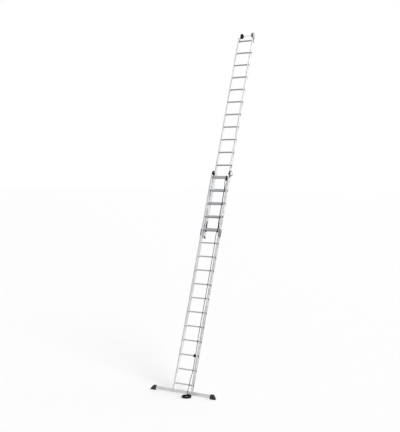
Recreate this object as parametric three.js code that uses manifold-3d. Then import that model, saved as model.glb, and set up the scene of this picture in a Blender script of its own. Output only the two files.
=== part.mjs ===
// Two-section rope-operated extension ladder, leaning as it stands in use.
//
// The ladder is drawn in its own frame: X across the rungs, Y through the ladder
// from the climbing side to the wall side, Z up along the stiles, with zero inside
// the crossbar. One group then leans it back and lifts it onto the floor.
// The rubber boots and the rope coil lie in the level floor frame. Millimetres.

import * as THREE from 'three';
import Module from 'manifold-3d';
import { mergeVertices } from 'three/addons/utils/BufferGeometryUtils.js';

const wasm = await Module();
wasm.setup();

// Driving dimensions
const TILT_DEG = 19.5;             // lean back from upright
const FOOT_HEIGHT = 62;            // the ladder frame's zero above the floor
const RUNG_COUNT = 16;             // rungs in each section
const PITCH = 280;                 // rung to rung
const FIRST_RUNG = 125;            // zero to the first base rung
const OVERLAP_STEP = 11;           // the fly's first rung sits by base rung 12
const LATCH_DROP = 15;             // fly rungs hang this much below the base rungs
const BASE_WIDTH = 424;            // over the base stiles
const FLY_WIDTH = 360;             // over the fly stiles
const BASE_DEPTH = 72;             // base stile, front to back
const FLY_DEPTH = 60;              // fly stile, front to back
const FLY_OFFSET = 54;             // fly rungs behind the base rungs
const GAP = 0.3;                   // clearance between pieces that touch

// Stiles and rungs
const WALL = 3;
const FLANGE = 25;
const LIP = 7;
const RUNG_RADIUS = 15;
const RUNG_WALL = 1.8;
const RUNG_SIDES = 12;
const RUNG_INSET = 6;              // rung ends inside the stile's outer edge
const BASE_TOP_MARGIN = 35;
const FLY_TOP_MARGIN = 65;
const FLY_TAIL = 120;              // fly stile below its first rung
const BASE_TOP = FIRST_RUNG + (RUNG_COUNT - 1) * PITCH + BASE_TOP_MARGIN;
const FLY_FIRST = FIRST_RUNG + OVERLAP_STEP * PITCH - LATCH_DROP;
const FLY_LAST = FLY_FIRST + (RUNG_COUNT - 1) * PITCH;
const BASE_WEB = BASE_WIDTH / 2 - FLANGE;   // inner face of the base stile
const FLY_WEB = FLY_WIDTH / 2 - FLANGE;     // inner face of the fly stile
const FLY_FRONT = FLY_OFFSET - FLY_DEPTH / 2;
const FLY_BACK = FLY_OFFSET + FLY_DEPTH / 2;

// Crossbar and boots
const BAR_HALF_LENGTH = 660;
const BAR_HALF_DEPTH = 14;
const BAR_TOP = 12;                // the base stiles stand on this level
const BAR_BOTTOM = -54;
const BAR_WALL = 3;
const BOOT_START = 612;
const BOOT_END = 730;
const BOOT_TOP = 83;
const BOOT_FRONT = -41;            // front and back edges of the sole
const BOOT_BACK = -3;

// Guides between the two sections
const CAP_RADIUS = 57;
const CAP_CENTRE = 35;
const CAP_LIFT = 42;               // cap centre above the top of the base stile
const CAP_THICK = 24;
const CLAW_REACH = 158;            // claws reach in to this half width
const CLAW_THICK = 12.5;
const CLAW_LOW = 10;               // claws run between these heights above the stile
const CLAW_HIGH = 50;
const CLAW_PLAY = 1.5;             // from each claw to the fly stile
const TONGUE_HALF = 20;
const TONGUE_DEPTH = 17;           // reach of the tongue down into the stile
const GUIDE_PLATE = 6;
const GUIDE_HOOK = 14;             // how far the fly guide hooks round the front
const GUIDE_PLAY = 0.6;
const GUIDE_LENGTH = 140;          // up from the end of the fly stile
const GUIDE_STEP = 4;              // guide's edge short of the fly stile's back face

// Pulley and rope
const ROPE_RADIUS = 5;
const ROPE_SIDES = 8;
const SHEAVE_X = 142;
const SHEAVE_Z = 4266;
const SHEAVE_PITCH_RADIUS = 24;
const SHEAVE_RADIUS = 28;
const SHEAVE_GROOVE = 18;
const SHEAVE_HALF = 8;
const PIN_RADIUS = 5;
const PIN_LENGTH = 28;
const CHEEK_INNER = 9;             // cheek faces on either side of the sheave
const CHEEK_OUTER = 12;
const CHEEK_HALF_WIDTH = 13;
const COLLAR_HALF = 14;
const COLLAR_WALL = 4;
const KNOT_HALF = 11;
const COIL_CENTRE = [177, -152];
const COIL_INNER = 52;
const COIL_OUTER = 96;
const COIL_HEIGHT = 31;
const COIL_SHOULDER = 20;          // height at which the coil starts to round over
const HITCH_X = 130;
const HITCH_HALF_TURN = 5.5;
const HANK_RADIUS = 16;            // hank of rope in front of rung 3
const HANK_HALF = 17;
const HANK_FRONT = -40;

// Latches
const SHAFT_Y = 31;
const SHAFT_Z = 3232;
const SHAFT_RADIUS = 5;
const HOOK_THICK = 10;
const HOOK_OUTER = 148;
const HOOK_BOSS = 8;
const HOOK_PLAY = 1.3;
const HOOK_SWING_DEG = 100;        // from clear of the rungs to hooked on
const HOOK_TOP = 9;                // upper edge of the hook above the shaft
const HOOK_LIP = 8;                // how far the hook's lip hangs below its seat
const HOOK_NOSE = 10;              // thickness of the hook's nose
const PLATE_FRONT = 22;            // latch plate: front edge, back edge, back of its foot
const PLATE_BACK = 62;
const PLATE_HEEL = 76;
const PLATE_LOW = 3160;
const PLATE_SHOULDER = 3222;       // the foot narrows above this height
const PLATE_HIGH = 3384;
const PLATE_CORNER = 8;

// Wall rollers
const AXLE_Y = 84;
const AXLE_Z = FLY_LAST + 136;
const AXLE_RADIUS = 6;
const AXLE_HALF = 162;
const ROLLER_RADIUS = 54;
const ROLLER_OUTER = 149.5;
const ROLLER_THICK = 38;
const ROLLER_HUB = 38;             // radius of the raised hub
const ROLLER_DISH = 2;             // tyre faces below the hub faces
const BRACKET_THICK = 4;
const BRACKET_LIFT = 20;           // roller bracket above the last fly rung
const BRACKET_EYE = 16;
const BRACKET_MARGIN = 8;

// Materials
function material(color, roughness, metalness) {
  return new THREE.MeshStandardMaterial({ color, roughness, metalness });
}
const aluminium = material(0xc9ccd0, 0.38, 0.9);
const castGrey = material(0x8d9195, 0.55, 0.7);
const steel = material(0xb4b8bc, 0.3, 1.0);
const blackPlastic = material(0x1b1c1e, 0.5, 0.0);
const blackSteel = material(0x202225, 0.45, 0.6);
const rubber = material(0x151617, 0.85, 0.0);
const cord = material(0x17181a, 0.9, 0.0);

// Solid helpers
function toSolid(geometry) {
  const bare = geometry.clone();
  bare.deleteAttribute('normal');
  bare.deleteAttribute('uv');
  const welded = mergeVertices(bare, 1e-3);
  return new wasm.Manifold(new wasm.Mesh({
    numProp: 3,
    vertProperties: new Float32Array(welded.attributes.position.array),
    triVerts: new Uint32Array(welded.index.array),
  }));
}

function toGeometry(solid) {
  const data = solid.getMesh();
  const geometry = new THREE.BufferGeometry();
  geometry.setAttribute('position', new THREE.BufferAttribute(data.vertProperties, 3));
  geometry.setIndex(new THREE.BufferAttribute(data.triVerts, 1));
  return geometry;
}

function joined(...geometries) {
  const solids = geometries.map(toSolid);
  return toGeometry(solids.reduce((whole, piece) => whole.add(piece)));
}

function cut(geometry, ...tools) {
  const solids = tools.map(toSolid);
  return toGeometry(solids.reduce((whole, tool) => whole.subtract(tool), toSolid(geometry)));
}

function polygon(points) {
  return new THREE.Shape(points.map(([a, b]) => new THREE.Vector2(a, b)));
}

// A stadium: a bar with round ends whose centres are a and b.
function stadium(a, b, radius) {
  const angle = Math.atan2(b[1] - a[1], b[0] - a[0]);
  const shape = new THREE.Shape();
  shape.absarc(b[0], b[1], radius, angle - Math.PI / 2, angle + Math.PI / 2);
  shape.absarc(a[0], a[1], radius, angle + Math.PI / 2, angle + 1.5 * Math.PI);
  return shape;
}

function circle(x, y, radius, sides) {
  const points = [];
  for (let k = 0; k < sides; k += 1) {
    const angle = (2 * Math.PI * k) / sides;
    points.push([x + radius * Math.cos(angle), y + radius * Math.sin(angle)]);
  }
  return polygon(points);
}

function withHole(shape, x, y, radius) {
  shape.holes.push(circle(x, y, radius, 12));
  return shape;
}

function extruded(shape, depth, curveSegments) {
  return new THREE.ExtrudeGeometry(shape, { depth, bevelEnabled: false, curveSegments });
}

// Outline in X and Y, drawn along Z.
function alongZ(shape, low, high, segments = 5) {
  return extruded(shape, high - low, segments).translate(0, 0, low);
}

// Outline in Y and Z, drawn along X.
function alongX(shape, low, high, segments = 5) {
  const turn = new THREE.Matrix4().makeBasis(
    new THREE.Vector3(0, 1, 0), new THREE.Vector3(0, 0, 1), new THREE.Vector3(1, 0, 0));
  return extruded(shape, high - low, segments).applyMatrix4(turn).translate(low, 0, 0);
}

// Outline in X and Z, drawn along Y.
function alongY(shape, low, high, segments = 5) {
  return extruded(shape, high - low, segments).rotateX(Math.PI / 2).translate(0, high, 0);
}

function block(x0, x1, y0, y1, z0, z1) {
  const box = new THREE.BoxGeometry(x1 - x0, y1 - y0, z1 - z0);
  return box.translate((x0 + x1) / 2, (y0 + y1) / 2, (z0 + z1) / 2);
}

// A turned ring about the X axis from half profile points [radius, x].
function ringX(profile, sides) {
  const points = profile.map(([radius, x]) => new THREE.Vector2(radius, x));
  points.push(points[0].clone());
  return new THREE.LatheGeometry(points, sides).rotateZ(-Math.PI / 2);
}

function rodX(radius, x0, x1, y, z, sides) {
  const rod = new THREE.CylinderGeometry(radius, radius, x1 - x0, sides);
  return rod.rotateZ(-Math.PI / 2).translate((x0 + x1) / 2, y, z);
}

// Mirrors a right-hand piece to the left and keeps its faces pointing out.
function mirrored(geometry) {
  return toGeometry(toSolid(geometry).mirror([1, 0, 0]));
}

// Scene groups: floor frame and leaned ladder frame
const ladder = new THREE.Group();
const leaned = new THREE.Group();
leaned.rotation.x = -THREE.MathUtils.degToRad(TILT_DEG);
leaned.position.z = FOOT_HEIGHT;
ladder.add(leaned);

function place(parent, name, geometry, surface) {
  const mesh = new THREE.Mesh(geometry, surface);
  mesh.name = name;
  parent.add(mesh);
}

function placePair(parent, name, geometry, surface) {
  place(parent, `${name}_right`, geometry, surface);
  place(parent, `${name}_left`, mirrored(geometry), surface);
}

// A stile is a lipped channel, open outwards, with a hole for each rung.
function stile(web, depth, centre, low, high, firstRung) {
  const outer = web + FLANGE;
  const front = centre - depth / 2;
  const back = centre + depth / 2;
  const section = polygon([
    [web, front], [outer, front], [outer, front + LIP], [outer - WALL, front + LIP],
    [outer - WALL, front + WALL], [web + WALL, front + WALL], [web + WALL, back - WALL],
    [outer - WALL, back - WALL], [outer - WALL, back - LIP], [outer, back - LIP],
    [outer, back], [web, back],
  ]);
  const holes = [];
  for (let k = 0; k < RUNG_COUNT; k += 1) {
    const z = firstRung + k * PITCH;
    holes.push(rodX(RUNG_RADIUS + GAP, web - 2, web + WALL + 2, centre, z, RUNG_SIDES));
  }
  return cut(alongZ(section, low, high), ...holes);
}

function rung(halfLength, y, z) {
  const inner = RUNG_RADIUS - RUNG_WALL;
  const profile = [
    [RUNG_RADIUS, -halfLength], [RUNG_RADIUS, halfLength],
    [inner, halfLength], [inner, -halfLength],
  ];
  return ringX(profile, RUNG_SIDES).translate(0, y, z);
}

function addSection(name, width, depth, centre, low, high, firstRung) {
  const web = width / 2 - FLANGE;
  placePair(leaned, `${name}_stile`, stile(web, depth, centre, low, high, firstRung), aluminium);
  for (let k = 0; k < RUNG_COUNT; k += 1) {
    const label = String(k + 1).padStart(2, '0');
    const tube = rung(width / 2 - RUNG_INSET, centre, firstRung + k * PITCH);
    place(leaned, `${name}_rung_${label}`, tube, aluminium);
  }
}

// The crossbar is a tall box tube under the base stiles, square to them.
function crossbar() {
  const outline = (inset) => {
    const half = BAR_HALF_DEPTH - inset;
    const low = BAR_BOTTOM + inset;
    const high = BAR_TOP - inset;
    return polygon([[-half, low], [half, low], [half, high], [-half, high]]);
  };
  const section = outline(0);
  section.holes.push(outline(BAR_WALL));
  return alongX(section, -BAR_HALF_LENGTH, BAR_HALF_LENGTH);
}

// A rubber boot: level sole, domed top, sloping outer end, pocket for the bar. Its
// front and back faces lean back with the bar.
function boot() {
  const side = new THREE.Shape();
  side.moveTo(BOOT_START, 0);
  side.lineTo(BOOT_END - 6, 0);
  side.quadraticCurveTo(BOOT_END, 0, BOOT_END, 8);
  side.lineTo(BOOT_END - 3, 20);
  side.quadraticCurveTo(BOOT_END - 45, BOOT_TOP, BAR_HALF_LENGTH + 8, BOOT_TOP);
  side.lineTo(BOOT_START + 14, BOOT_TOP);
  side.quadraticCurveTo(BOOT_START, BOOT_TOP, BOOT_START, BOOT_TOP - 12);
  const tilt = THREE.MathUtils.degToRad(TILT_DEG);
  const slope = new THREE.Matrix4().set(1, 0, 0, 0, 0, 1, Math.tan(tilt), 0, 0, 0, 1, 0, 0, 0, 0, 1);
  const body = alongY(side, BOOT_FRONT, BOOT_BACK, 4).applyMatrix4(slope);
  const half = BAR_HALF_DEPTH + GAP;
  const end = BAR_HALF_LENGTH + GAP;
  const pocket = block(BOOT_START - 5, end, -half, half, BAR_BOTTOM - GAP, BAR_TOP + GAP);
  pocket.rotateX(-tilt).translate(0, 0, FOOT_HEIGHT);
  return cut(body, pocket);
}

// Guide on top of each base stile: round cap with a flat foot, tongue into the stile,
// and two claws that hold the fly stile front and back.
function baseGuide() {
  const start = BASE_WEB + 1;
  const end = start + CAP_THICK;
  const foot = BASE_TOP + GAP;
  const low = foot + CLAW_LOW;
  const high = foot + CLAW_HIGH;
  const disc = alongX(circle(CAP_CENTRE, BASE_TOP + CAP_LIFT, CAP_RADIUS, 28), start, end);
  const below = block(start - 1, end + 1, -CAP_RADIUS, 3 * CAP_RADIUS, foot - CAP_RADIUS, foot);
  const inStile = BASE_WEB + WALL + GAP;
  const behind = FLY_BACK + CLAW_PLAY;
  const ahead = FLY_FRONT - CLAW_PLAY;
  return joined(
    cut(disc, below),
    block(start, end, CAP_CENTRE, behind + CLAW_THICK, low, high),
    block(CLAW_REACH, start + 2, behind, behind + CLAW_THICK, low, high),
    block(CLAW_REACH, start + 2, ahead - CLAW_THICK, ahead, low, high),
    block(inStile, end - 8, -TONGUE_HALF, TONGUE_HALF, BASE_TOP - TONGUE_DEPTH, low),
  );
}

// Guide at the fly's lower end: it wraps the base stile from behind and outside.
function flyGuide() {
  const inner = FLY_WIDTH / 2 + GAP;
  const outer = BASE_WIDTH / 2 + GUIDE_PLAY;
  const back = BASE_DEPTH / 2 + GUIDE_PLAY;
  const section = polygon([
    [inner, back], [outer, back], [outer, -back], [outer - GUIDE_HOOK, -back],
    [outer - GUIDE_HOOK, -back - GUIDE_PLATE], [outer + GUIDE_PLATE, -back - GUIDE_PLATE],
    [outer + GUIDE_PLATE, back + GUIDE_PLATE], [inner + GUIDE_PLATE, back + GUIDE_PLATE],
    [inner + GUIDE_PLATE, FLY_BACK - GUIDE_STEP], [inner, FLY_BACK - GUIDE_STEP],
  ]);
  const low = FLY_FIRST - FLY_TAIL;
  return alongZ(section, low, low + GUIDE_LENGTH);
}

// The pulley block hangs from the top base rung: collar, two cheeks and the pin.
function pulleyBlock() {
  const rungZ = FIRST_RUNG + (RUNG_COUNT - 1) * PITCH;
  const inner = RUNG_RADIUS + GAP;
  const collar = ringX([
    [inner + COLLAR_WALL, -COLLAR_HALF], [inner + COLLAR_WALL, COLLAR_HALF],
    [inner, COLLAR_HALF], [inner, -COLLAR_HALF],
  ], 16);
  collar.translate(SHEAVE_X, 0, rungZ);
  const cheekTop = rungZ - inner + COLLAR_WALL - 1;
  const clearRung = rodX(inner, SHEAVE_X - 40, SHEAVE_X + 40, 0, rungZ, 16);
  const cheek = (front, back) => {
    const shape = stadium([SHEAVE_X, SHEAVE_Z], [SHEAVE_X, cheekTop], CHEEK_HALF_WIDTH);
    return cut(alongY(shape, front, back), clearRung);
  };
  const cheeks = [cheek(-CHEEK_OUTER, -CHEEK_INNER), cheek(CHEEK_INNER, CHEEK_OUTER)];
  const pin = new THREE.CylinderGeometry(PIN_RADIUS, PIN_RADIUS, PIN_LENGTH, 12);
  pin.translate(SHEAVE_X, 0, SHEAVE_Z);
  return joined(collar, ...cheeks, pin);
}

function sheave() {
  const flange = SHEAVE_HALF - 2.6;
  const bore = PIN_RADIUS + GAP;
  const profile = [
    [bore, -SHEAVE_HALF], [SHEAVE_RADIUS, -SHEAVE_HALF], [SHEAVE_RADIUS, -flange],
    [SHEAVE_GROOVE, -flange], [SHEAVE_GROOVE, flange], [SHEAVE_RADIUS, flange],
    [SHEAVE_RADIUS, SHEAVE_HALF], [bore, SHEAVE_HALF],
  ].map(([radius, y]) => new THREE.Vector2(radius, y));
  profile.push(profile[0].clone());
  return new THREE.LatheGeometry(profile, 20).translate(SHEAVE_X, 0, SHEAVE_Z);
}

// Latch plate on the inner face of each fly stile: a strip over a wider foot, which
// is notched from behind for the fly's first rung.
function latchBracket() {
  const notch = RUNG_RADIUS + 2 * GAP;
  const plate = new THREE.Shape();
  plate.moveTo(PLATE_FRONT, PLATE_LOW + PLATE_CORNER);
  plate.lineTo(PLATE_FRONT + PLATE_CORNER, PLATE_LOW);
  plate.lineTo(PLATE_HEEL - PLATE_CORNER, PLATE_LOW);
  plate.lineTo(PLATE_HEEL, PLATE_LOW + PLATE_CORNER);
  plate.lineTo(PLATE_HEEL, FLY_FIRST - notch);
  plate.absarc(FLY_OFFSET, FLY_FIRST, notch, -Math.PI / 2, Math.PI / 2, true);
  plate.lineTo(PLATE_HEEL, FLY_FIRST + notch);
  plate.lineTo(PLATE_HEEL, PLATE_SHOULDER);
  plate.lineTo(PLATE_BACK, PLATE_SHOULDER + PLATE_HEEL - PLATE_BACK);
  plate.lineTo(PLATE_BACK, PLATE_HIGH - PLATE_CORNER);
  plate.lineTo(PLATE_BACK - PLATE_CORNER, PLATE_HIGH);
  plate.lineTo(PLATE_FRONT + PLATE_CORNER, PLATE_HIGH);
  plate.lineTo(PLATE_FRONT, PLATE_HIGH - PLATE_CORNER);
  withHole(plate, SHAFT_Y, SHAFT_Z, SHAFT_RADIUS + GAP);
  const outer = FLY_WEB - GAP;
  return alongX(plate, outer - BRACKET_THICK, outer);
}

// A hook drawn where it holds base rung 12, then swung back clear of the rungs.
function latchHook() {
  const rungZ = FIRST_RUNG + OVERLAP_STEP * PITCH;
  const seat = rungZ + RUNG_RADIUS + 0.6 - SHAFT_Z;
  const nose = -(SHAFT_Y + RUNG_RADIUS + HOOK_PLAY);
  const hook = new THREE.Shape();
  hook.moveTo(-2, seat);
  hook.lineTo(nose, seat);
  hook.lineTo(nose, seat - HOOK_LIP);
  hook.lineTo(nose - 6, seat - HOOK_LIP);
  hook.quadraticCurveTo(nose - HOOK_NOSE, seat - 6, nose - HOOK_NOSE, seat + 2);
  hook.quadraticCurveTo(nose - 8, HOOK_TOP, nose + 8, HOOK_TOP);
  hook.lineTo(0, HOOK_BOSS);
  hook.absarc(0, 0, HOOK_BOSS, Math.PI / 2, -Math.PI / 2 + 0.2, true);
  withHole(hook, 0, 0, SHAFT_RADIUS + GAP);
  const solid = alongX(hook, HOOK_OUTER - HOOK_THICK, HOOK_OUTER, 4);
  solid.rotateX(-THREE.MathUtils.degToRad(HOOK_SWING_DEG));
  return solid.translate(0, SHAFT_Y, SHAFT_Z);
}

// Bracket that carries the wall roller axle on the fly stile's upper end.
function rollerBracket() {
  const low = FLY_LAST + BRACKET_LIFT;
  const front = FLY_FRONT + BRACKET_MARGIN;
  const shape = new THREE.Shape();
  shape.moveTo(front, low);
  shape.lineTo(FLY_BACK - BRACKET_MARGIN, low);
  shape.lineTo(AXLE_Y + BRACKET_EYE, AXLE_Z);
  shape.absarc(AXLE_Y, AXLE_Z, BRACKET_EYE, 0, Math.PI);
  shape.lineTo(front, low + 2 * BRACKET_EYE);
  withHole(shape, AXLE_Y, AXLE_Z, AXLE_RADIUS + GAP);
  const outer = FLY_WEB - GAP;
  return alongX(shape, outer - BRACKET_THICK, outer);
}

function roller() {
  const bore = AXLE_RADIUS + GAP;
  const half = ROLLER_THICK / 2;
  const face = half - ROLLER_DISH;
  const shoulder = ROLLER_RADIUS - 5;
  const tread = half - 6;
  const rim = ROLLER_HUB + ROLLER_DISH;
  const profile = [
    [bore, -half], [ROLLER_HUB, -half], [rim, -face], [shoulder, -face], [ROLLER_RADIUS, -tread],
    [ROLLER_RADIUS, tread], [shoulder, face], [rim, face], [ROLLER_HUB, half], [bore, half],
  ];
  return ringX(profile, 24).translate(ROLLER_OUTER - half, AXLE_Y, AXLE_Z);
}

// Rope routes in the ladder frame, as hand-set points: from the knot on the fly's
// bottom rung up and over the sheave, then from the sheave down the climbing side.
const HOIST_ROUTE = [
  [118, 48, 3216.5], [118, 45, 3228], [118, 41.5, 3248], [118, 36, 3300], [118, 29, 3380],
  [118, 27, 3430], [118, 27, 3700], [118, 27, 4000], [118, 27, 4075], [118, 23, 4110],
  [118, 12, 4165], [118, 3, 4215], [118, 0, 4243], [118, 0, 4266], [119.2, 0, 4273.4],
  [122.6, 0, 4280.1], [127.9, 0, 4285.4], [134.6, 0, 4288.8], [142, 0, 4290],
  [149.4, 0, 4288.8], [156.1, 0, 4285.4], [161.4, 0, 4280.1], [164.8, 0, 4273.4],
  [166, 0, 4266], [166, 0, 4256],
];
const PULL_ROUTE = [
  [166, 0, 4255.5], [166, 0, 4243], [166, -3, 4215], [165, -11, 4165], [163, -19, 4110],
  [160, -22, 4065], [154, -22, 4010], [153, -22, 3743], [155, -22, 3450], [163, -22, 3290],
  [140, -22, 3090], [145, -22, 2920], [148, -22, 2400], [147, -22, 1800], [144, -22, 1300],
  [145, -22, 960], [154, -22, 760], [155, -22, 685], [155, -22, 600], [154, -22, 400],
  [130.5, -22, 205], [131, -26, 75], [132, -42, 28], [133, -49, -8], [134, -52, -25],
];
// The last stretch, in the level floor frame, from the crossbar onto the coil.
const LANDING = [[136.5, -61.5, 46], [143, -66, 39.5], [152, -71, 36.8], [163, -74.5, 36.5]];

function leanPoint([x, y, z]) {
  const point = new THREE.Vector3(x, y, z);
  leaned.updateMatrix();
  return point.applyMatrix4(leaned.matrix);
}

// A rope: an eight-sided section with one step for each point of its route.
function rope(points) {
  const route = new THREE.CatmullRomCurve3(points, false, 'centripetal');
  route.getUtoTmapping = (u) => u;
  return new THREE.ExtrudeGeometry(circle(0, 0, ROPE_RADIUS, ROPE_SIDES), {
    steps: points.length - 1, extrudePath: route, bevelEnabled: false,
  });
}

// Turns of rope tied round the fly's bottom rung.
function hoistKnot() {
  const inner = RUNG_RADIUS + GAP;
  const outer = inner + 2 * ROPE_RADIUS;
  const turns = ringX([
    [inner, -KNOT_HALF], [outer - 3, -KNOT_HALF], [outer, 3 - KNOT_HALF],
    [outer, KNOT_HALF - 3], [outer - 3, KNOT_HALF], [inner, KNOT_HALF],
  ], 16);
  return turns.translate(HOIST_ROUTE[0][0], FLY_OFFSET, FLY_FIRST);
}

// Hitch on base rung 3: one turn behind the rung and a bulky knot in front of it.
function ropeHitch() {
  const rungZ = FIRST_RUNG + 2 * PITCH;
  const inner = RUNG_RADIUS + GAP;
  const outer = inner + 2 * ROPE_RADIUS;
  const half = HITCH_HALF_TURN;
  const turn = ringX([[inner, -half], [outer, -half], [outer, half], [inner, half]], 16);
  turn.translate(HITCH_X, 0, rungZ);
  const hank = stadium([HITCH_X + 1, rungZ - HANK_HALF], [HITCH_X + 1, rungZ + HANK_HALF], HANK_RADIUS);
  return joined(turn, alongY(hank, HANK_FRONT, -inner - 1, 6));
}

function ropeCoil() {
  const profile = [
    [COIL_INNER, 4], [COIL_INNER + 4, 0], [COIL_OUTER - 4, 0], [COIL_OUTER, 4],
    [COIL_OUTER, COIL_SHOULDER], [COIL_OUTER - 9, COIL_HEIGHT],
    [COIL_INNER + 9, COIL_HEIGHT], [COIL_INNER, COIL_SHOULDER],
  ].map(([radius, z]) => new THREE.Vector2(radius, z));
  profile.push(profile[0].clone());
  const ring = new THREE.LatheGeometry(profile, 28).rotateX(Math.PI / 2);
  return ring.translate(COIL_CENTRE[0], COIL_CENTRE[1], 0);
}

// Assembly
const flyLow = FLY_FIRST - FLY_TAIL;
const flyHigh = FLY_LAST + FLY_TOP_MARGIN;
addSection('base', BASE_WIDTH, BASE_DEPTH, 0, BAR_TOP + GAP, BASE_TOP, FIRST_RUNG);
addSection('fly', FLY_WIDTH, FLY_DEPTH, FLY_OFFSET, flyLow, flyHigh, FLY_FIRST);
place(leaned, 'crossbar', crossbar(), aluminium);
placePair(ladder, 'boot', boot(), rubber);
placePair(leaned, 'base_guide', baseGuide(), blackPlastic);
placePair(leaned, 'fly_guide', flyGuide(), castGrey);
place(leaned, 'pulley_block', pulleyBlock(), blackSteel);
place(leaned, 'pulley_sheave', sheave(), blackPlastic);
placePair(leaned, 'latch_bracket', latchBracket(), blackSteel);
placePair(leaned, 'latch_hook', latchHook(), blackSteel);
const shaftHalf = FLY_WEB - 1;
place(leaned, 'latch_shaft', rodX(SHAFT_RADIUS, -shaftHalf, shaftHalf, SHAFT_Y, SHAFT_Z, 12), blackSteel);
placePair(leaned, 'roller_bracket', rollerBracket(), steel);
placePair(leaned, 'wall_roller', roller(), rubber);
place(leaned, 'roller_axle', rodX(AXLE_RADIUS, -AXLE_HALF, AXLE_HALF, AXLE_Y, AXLE_Z, 12), steel);
place(ladder, 'hoist_rope', rope(HOIST_ROUTE.map(leanPoint)), cord);
place(leaned, 'hoist_knot', hoistKnot(), cord);
const landing = LANDING.map(([x, y, z]) => new THREE.Vector3(x, y, z));
place(ladder, 'pull_rope', rope([...PULL_ROUTE.map(leanPoint), ...landing]), cord);
place(leaned, 'rope_hitch', ropeHitch(), cord);
place(ladder, 'rope_coil', ropeCoil(), cord);

export default ladder;
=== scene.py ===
"""Looks of a rope-operated two-section extension ladder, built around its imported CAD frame.

Pieces of the ladder are drawn in the ladder's own frame (X across the rungs, Y through
the ladder towards the wall, Z up the stiles) and carry the lean in their object matrix.
The boots and the free rope are drawn in the level floor frame. Lengths are in metres.
"""

import math

import bmesh
import bpy
from mathutils import Matrix, Vector


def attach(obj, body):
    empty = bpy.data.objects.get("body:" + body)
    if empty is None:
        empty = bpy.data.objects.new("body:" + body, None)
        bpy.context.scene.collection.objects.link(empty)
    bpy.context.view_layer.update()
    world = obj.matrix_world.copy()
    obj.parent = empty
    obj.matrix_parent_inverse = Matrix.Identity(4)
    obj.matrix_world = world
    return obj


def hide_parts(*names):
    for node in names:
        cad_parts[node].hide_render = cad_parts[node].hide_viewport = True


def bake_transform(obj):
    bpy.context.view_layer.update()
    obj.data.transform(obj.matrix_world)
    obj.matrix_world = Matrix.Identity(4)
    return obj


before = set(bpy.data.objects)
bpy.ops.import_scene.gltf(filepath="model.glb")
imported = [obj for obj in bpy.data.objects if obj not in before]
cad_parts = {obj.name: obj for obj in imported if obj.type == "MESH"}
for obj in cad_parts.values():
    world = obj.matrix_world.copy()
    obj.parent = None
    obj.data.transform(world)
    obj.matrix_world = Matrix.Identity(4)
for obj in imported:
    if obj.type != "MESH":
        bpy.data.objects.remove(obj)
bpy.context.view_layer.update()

# The ladder, as the CAD has it
TILT = math.radians(19.5)
FOOT_HEIGHT = 0.062
RUNGS = 16
PITCH = 0.280
FIRST_RUNG = 0.125
FLY_FIRST = 3.190
FLY_LAST = FLY_FIRST + (RUNGS - 1) * PITCH
BASE_TOP = FIRST_RUNG + (RUNGS - 1) * PITCH + 0.035
BASE_HALF = 0.212
FLY_HALF = 0.180
BASE_DEPTH = 0.072
FLY_DEPTH = 0.060
FLY_OFFSET = 0.054
FLY_FRONT = FLY_OFFSET - FLY_DEPTH / 2
FLY_BACK = FLY_OFFSET + FLY_DEPTH / 2
FLANGE = 0.025
WALL = 0.003
LIP = 0.007
RUNG_RADIUS = 0.015
RUNG_INSET = 0.006
BAR_HALF = 0.660
BAR_DEPTH = 0.028
BAR_TOP = 0.012
BAR_BOTTOM = -0.054
BOOT_START = 0.612
BOOT_END = 0.730
BOOT_TOP = 0.083
BOOT_FRONT = -0.041
BOOT_BACK = -0.003
CAP_RADIUS = 0.057
CAP_Y = 0.035
CAP_Z = BASE_TOP + 0.042
FLY_LOW = FLY_FIRST - 0.120
FLY_HIGH = FLY_LAST + 0.065
SHEAVE_X = 0.142
SHEAVE_Z = 4.266
SHAFT_Y = 0.031
SHAFT_Z = 3.232
HOOK_SWING = math.radians(100)
AXLE_Y = 0.084
AXLE_Z = FLY_LAST + 0.136
AXLE_HALF = 0.162
ROLLER_X = 0.1305
TYRE_RADIUS = 0.0540
ROPE_DIAMETER = 0.010
ROPE_RADIUS = ROPE_DIAMETER / 2
STRAND_REACH = 0.0060
COIL_CENTRE = Vector((0.177, -0.152, 0))

# Details that the CAD leaves plain
CONTACT_GAP = 0.0003    # between parts that rest on each other
WEB_FACE = 0.1903       # what lies against the outer face of a base web starts here
PLATE_FACE = 0.1507     # the plates on the inner faces of the fly's webs
PLATE_BACK = 0.1547
FLUTES = 24
FLUTE_DEPTH = 0.0006
BOOT_RIBS = 6
SOLE_LUGS = 9
CUT_END = 0.72          # size of a rope's first and last ring against the others
SHARP_ANGLE = math.radians(35)

LEAN = Matrix.Translation((0, 0, FOOT_HEIGHT)) @ Matrix.Rotation(-TILT, 4, "X")
LEVEL = Matrix.Identity(4)
SIDES = (("right", 1), ("left", -1))


# ---------------------------------------------------------------- camera, floor, light

def add_camera():
    data = bpy.data.cameras.new("camera")
    data.sensor_width = 36
    data.lens = 66.63
    data.clip_end = 400
    camera = bpy.data.objects.new("camera", data)
    camera.location = (8.071, -12.715, 4.312)
    camera.rotation_euler = (math.radians(86.572), 0, math.radians(31.165))
    bpy.context.scene.collection.objects.link(camera)
    bpy.context.scene.camera = camera


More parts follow.
